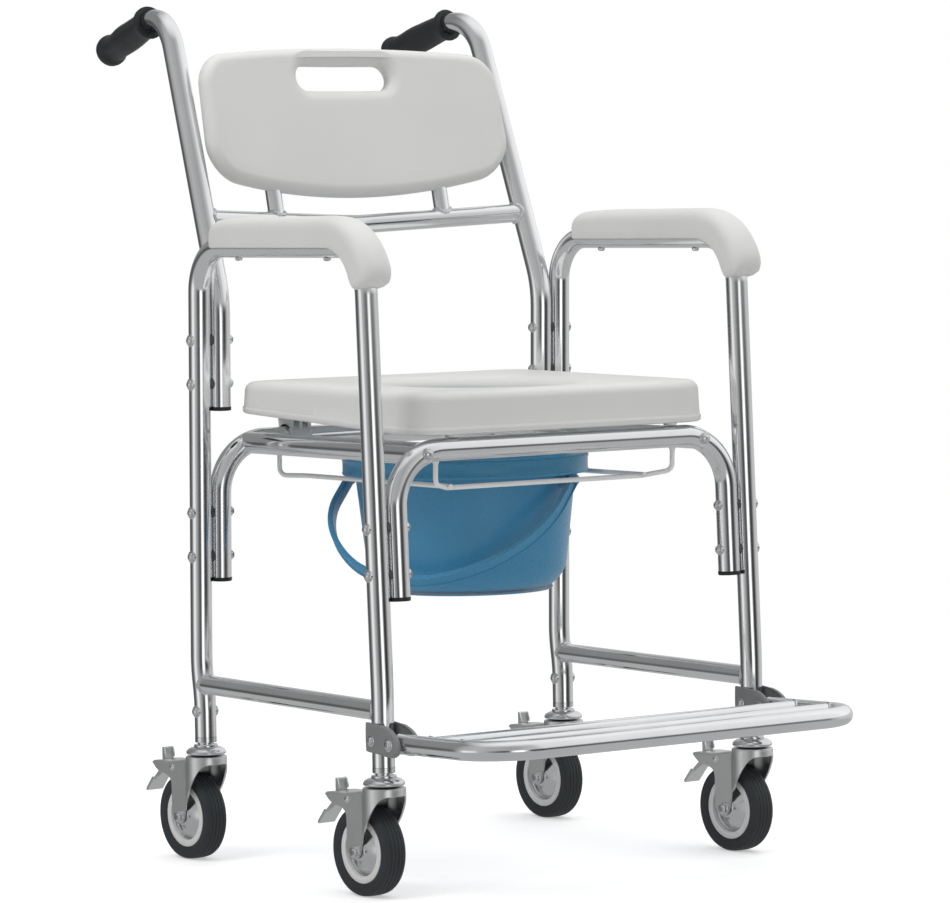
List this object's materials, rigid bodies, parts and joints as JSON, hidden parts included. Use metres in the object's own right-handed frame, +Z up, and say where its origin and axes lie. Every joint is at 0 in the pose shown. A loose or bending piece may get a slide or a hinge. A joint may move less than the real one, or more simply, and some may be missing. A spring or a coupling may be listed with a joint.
{
  "type": "wheeled commode chair",
  "caption": "Wheeled commode chair with a bent tube frame, a lifting seat with an opening, a slide-out bucket, a fold-up footrest, push grips and braked swivel casters.",
  "frame": {"origin": "centre of the chair's footprint, on the floor under the wheels", "axes": "+Z up; +Y towards the back, so the footrest points along -Y; +X towards the sitter's left"},
  "size_m": [0.5574, 0.8654, 0.991],
  "materials": {
    "frame_tube": "polished tube with fine lengthwise streaks",
    "seat_plastic": "off-white moulded plastic, faint pebble texture",
    "back_plastic": "off-white moulded plastic, faint pebble texture",
    "arm_plastic": "off-white moulded plastic, faint pebble texture",
    "grip_rubber": "charcoal moulded rubber with finger ridges",
    "fastener": "bright zinc plate",
    "spacer_plastic": "dark grey moulded plastic",
    "cap_plastic": "black moulded plastic",
    "bucket_plastic": "blue moulded plastic, soft gloss",
    "holder_wire": "white powder coat",
    "bracket_paint": "grey powder coat",
    "caster_steel": "zinc plated pressed steel",
    "brake_steel": "zinc plated pressed steel",
    "tyre_rubber": "charcoal solid tyre, matt",
    "wheel_plastic": "light grey moulded plastic"
  },
  "bodies": {
    "chair_frame": {"left_side_frame": "frame_tube", "right_side_frame": "frame_tube", "left_lower_rail": "frame_tube", "right_lower_rail": "frame_tube", "front_seat_hoop": "frame_tube", "rear_seat_hoop": "frame_tube", "left_seat_tube": "frame_tube", "right_seat_tube": "frame_tube", "left_handle_tube": "frame_tube", "right_handle_tube": "frame_tube", "back_crossbar": "frame_tube", "back_posts": "frame_tube", "backrest_panel": "back_plastic", "left_grip": "grip_rubber", "right_grip": "grip_rubber", "left_arm_pad": "arm_plastic", "right_arm_pad": "arm_plastic", "arm_pad_screws": "fastener", "frame_bolts": "fastener", "frame_nuts": "fastener", "saddle_spacers": "spacer_plastic", "stem_bolts": "fastener", "corner_bolts": "fastener", "tube_end_caps": "cap_plastic", "bucket_holder": "holder_wire", "left_footrest_bracket": "bracket_paint", "right_footrest_bracket": "bracket_paint", "footrest_bolts": "fastener", "stem_front_left": "caster_steel", "stem_front_right": "caster_steel", "stem_rear_left": "caster_steel", "stem_rear_right": "caster_steel"},
    "seat_body": {"seat": "seat_plastic", "seat_clips": "seat_plastic"},
    "bucket_body": {"bucket": "bucket_plastic"},
    "bail_body": {"bucket_bail": "bucket_plastic"},
    "footrest_body": {"footrest_loop": "frame_tube", "footrest_slats": "frame_tube"},
    "fork_body_front_left": {"fork_front_left": "caster_steel", "axle_front_left": "fastener"},
    "wheel_body_front_left": {"tyre_front_left": "tyre_rubber", "wheel_front_left": "wheel_plastic"},
    "brake_body_front_left": {"brake_front_left": "brake_steel"},
    "fork_body_front_right": {"fork_front_right": "caster_steel", "axle_front_right": "fastener"},
    "wheel_body_front_right": {"tyre_front_right": "tyre_rubber", "wheel_front_right": "wheel_plastic"},
    "brake_body_front_right": {"brake_front_right": "brake_steel"},
    "fork_body_rear_left": {"fork_rear_left": "caster_steel", "axle_rear_left": "fastener"},
    "wheel_body_rear_left": {"tyre_rear_left": "tyre_rubber", "wheel_rear_left": "wheel_plastic"},
    "brake_body_rear_left": {"brake_rear_left": "brake_steel"},
    "fork_body_rear_right": {"fork_rear_right": "caster_steel", "axle_rear_right": "fastener"},
    "wheel_body_rear_right": {"tyre_rear_right": "tyre_rubber", "wheel_rear_right": "wheel_plastic"},
    "brake_body_rear_right": {"brake_rear_right": "brake_steel"}
  },
  "joints": [
    {"name": "seat_lift", "type": "hinge", "parent": "chair_frame", "child": "seat_body", "pos_m": [0, 0.15021, 0.4845], "axis": [-1, 0, 0], "range_deg": [0, 75]},
    {"name": "bucket_slide", "type": "slide", "parent": "chair_frame", "child": "bucket_body", "axis": [0, 1, 0], "range_m": [0, 0.35]},
    {"name": "bail_swing", "type": "hinge", "parent": "bucket_body", "child": "bail_body", "pos_m": [0, -0.0165, 0.437], "axis": [-0.4695, 0.8829, 0], "range_deg": [-8, 20]},
    {"name": "footrest_fold", "type": "hinge", "parent": "chair_frame", "child": "footrest_body", "pos_m": [0, -0.2535, 0.172], "axis": [-1, 0, 0], "range_deg": [0, 90]},
    {"name": "swivel_front_left", "type": "hinge", "parent": "chair_frame", "child": "fork_body_front_left", "pos_m": [-0.2542, -0.2195, 0.118], "axis": [0, 0, 1], "continuous": true},
    {"name": "roll_front_left", "type": "hinge", "parent": "fork_body_front_left", "child": "wheel_body_front_left", "pos_m": [-0.25622, -0.19057, 0.05], "axis": [0.9976, 0.0698, 0], "continuous": true},
    {"name": "pedal_front_left", "type": "hinge", "parent": "fork_body_front_left", "child": "brake_body_front_left", "pos_m": [-0.25727, -0.17561, 0.106], "axis": [-0.9976, -0.0698, 0], "range_deg": [0, 10]},
    {"name": "swivel_front_right", "type": "hinge", "parent": "chair_frame", "child": "fork_body_front_right", "pos_m": [0.2542, -0.2195, 0.118], "axis": [0, 0, 1], "continuous": true},
    {"name": "roll_front_right", "type": "hinge", "parent": "fork_body_front_right", "child": "wheel_body_front_right", "pos_m": [0.25218, -0.19057, 0.05], "axis": [0.9976, 0.0698, 0], "continuous": true},
    {"name": "pedal_front_right", "type": "hinge", "parent": "fork_body_front_right", "child": "brake_body_front_right", "pos_m": [0.25113, -0.17561, 0.106], "axis": [-0.9976, -0.0698, 0], "range_deg": [0, 10]},
    {"name": "swivel_rear_left", "type": "hinge", "parent": "chair_frame", "child": "fork_body_rear_left", "pos_m": [-0.2542, 0.1515, 0.118], "axis": [0, 0, 1], "continuous": true},
    {"name": "roll_rear_left", "type": "hinge", "parent": "fork_body_rear_left", "child": "wheel_body_rear_left", "pos_m": [-0.25622, 0.18043, 0.05], "axis": [0.9976, 0.0698, 0], "continuous": true},
    {"name": "pedal_rear_left", "type": "hinge", "parent": "fork_body_rear_left", "child": "brake_body_rear_left", "pos_m": [-0.25727, 0.19539, 0.106], "axis": [-0.9976, -0.0698, 0], "range_deg": [0, 10]},
    {"name": "swivel_rear_right", "type": "hinge", "parent": "chair_frame", "child": "fork_body_rear_right", "pos_m": [0.2542, 0.1515, 0.118], "axis": [0, 0, 1], "continuous": true},
    {"name": "roll_rear_right", "type": "hinge", "parent": "fork_body_rear_right", "child": "wheel_body_rear_right", "pos_m": [0.25218, 0.18043, 0.05], "axis": [0.9976, 0.0698, 0], "continuous": true},
    {"name": "pedal_rear_right", "type": "hinge", "parent": "fork_body_rear_right", "child": "brake_body_rear_right", "pos_m": [0.25113, 0.19539, 0.106], "axis": [-0.9976, -0.0698, 0], "range_deg": [0, 10]}
  ]
}
